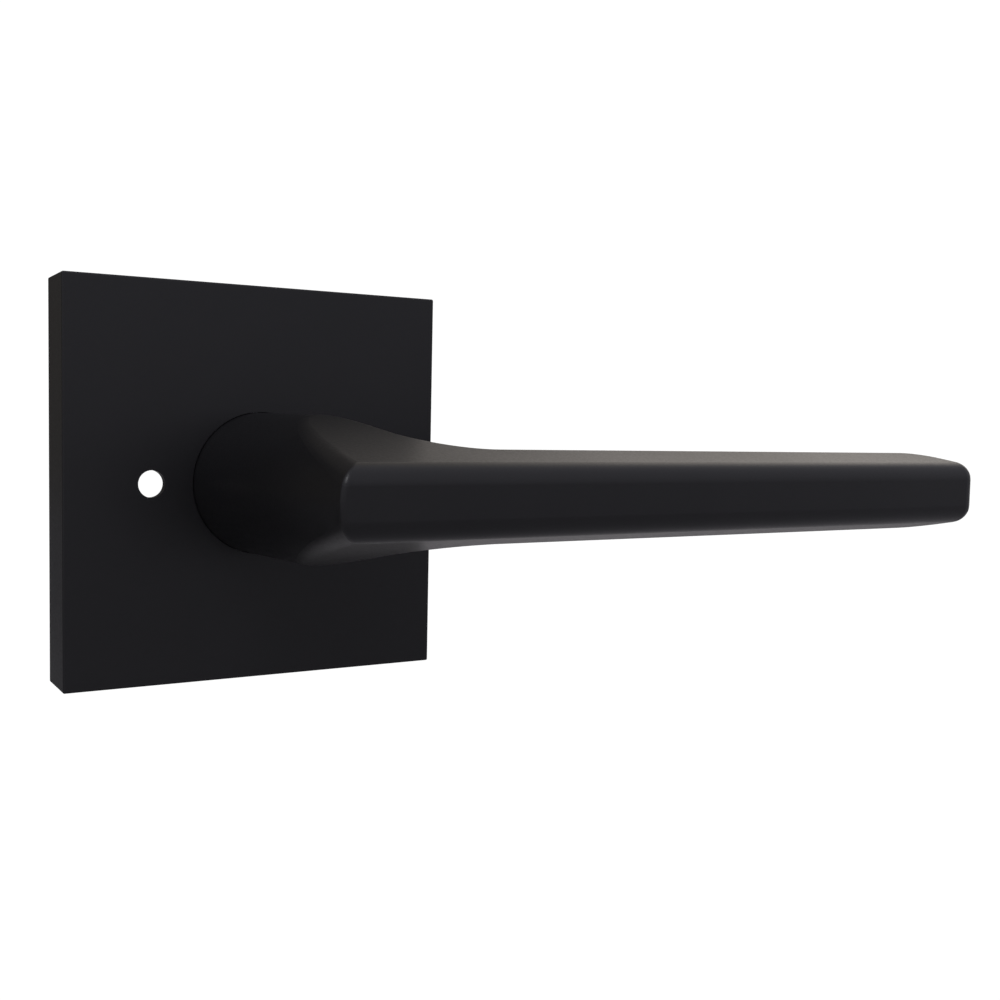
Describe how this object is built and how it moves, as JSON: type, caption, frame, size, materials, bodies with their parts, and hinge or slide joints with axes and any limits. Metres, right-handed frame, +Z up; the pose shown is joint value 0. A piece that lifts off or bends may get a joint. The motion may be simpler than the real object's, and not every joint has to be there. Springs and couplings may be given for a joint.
{
  "type": "door lever handle",
  "caption": "Straight tapered door lever on a square rose, one half of a privacy set, with spring return, square spindle, fixing posts and a release hole.",
  "frame": {"origin": "on the spindle axis, in the plane of the door's face", "axes": "+Y into the door along the spindle, +X towards the lever's free end, +Z up"},
  "size_m": [0.1463, 0.095, 0.0666],
  "materials": {
    "satin_black_rose": "satin black powder coat",
    "satin_black_lever": "satin black powder coat",
    "black_nylon": "matte",
    "black_oxide": "black oxide",
    "zinc_steel": "zinc plated",
    "zinc_plate": "zinc plated stamping",
    "zinc_post": "turned, zinc plated",
    "spring_steel": "oiled spring steel",
    "white_nylon": "matte",
    "bronze": "sintered bronze"
  },
  "bodies": {
    "door_side": {"mounting_plate": "zinc_plate", "mounting_posts": "zinc_post", "hub_bush": "bronze", "spring_anchor": "zinc_steel", "stop_pins": "zinc_steel", "spring_cage": "zinc_plate", "cage_screws": "zinc_post", "rose_clips": "spring_steel", "clip_rivets": "zinc_post", "return_spring": "spring_steel"},
    "lever": {"lever_handle": "satin_black_lever", "set_screw": "black_oxide", "drive_hub": "zinc_steel", "cam_plate": "zinc_steel", "spindle": "zinc_steel", "spindle_pin": "spring_steel", "thrust_washer": "white_nylon", "wave_washer": "spring_steel", "retaining_ring": "black_oxide"},
    "rose": {"rose_cover": "satin_black_rose", "rose_bushing": "black_nylon"}
  },
  "joints": [
    {"name": "lever_turn", "type": "hinge", "parent": "door_side", "child": "lever", "pos_m": [0, 0, 0], "axis": [0, 1, 0], "range_deg": [-45, 45], "stiffness_Nm_per_rad": 1.6, "springref_deg": -3.44, "deforming": ["return_spring"]},
    {"name": "rose_cover_slide", "type": "slide", "parent": "door_side", "child": "rose", "axis": [0, -1, 0], "range_m": [0, 0.022]}
  ]
}
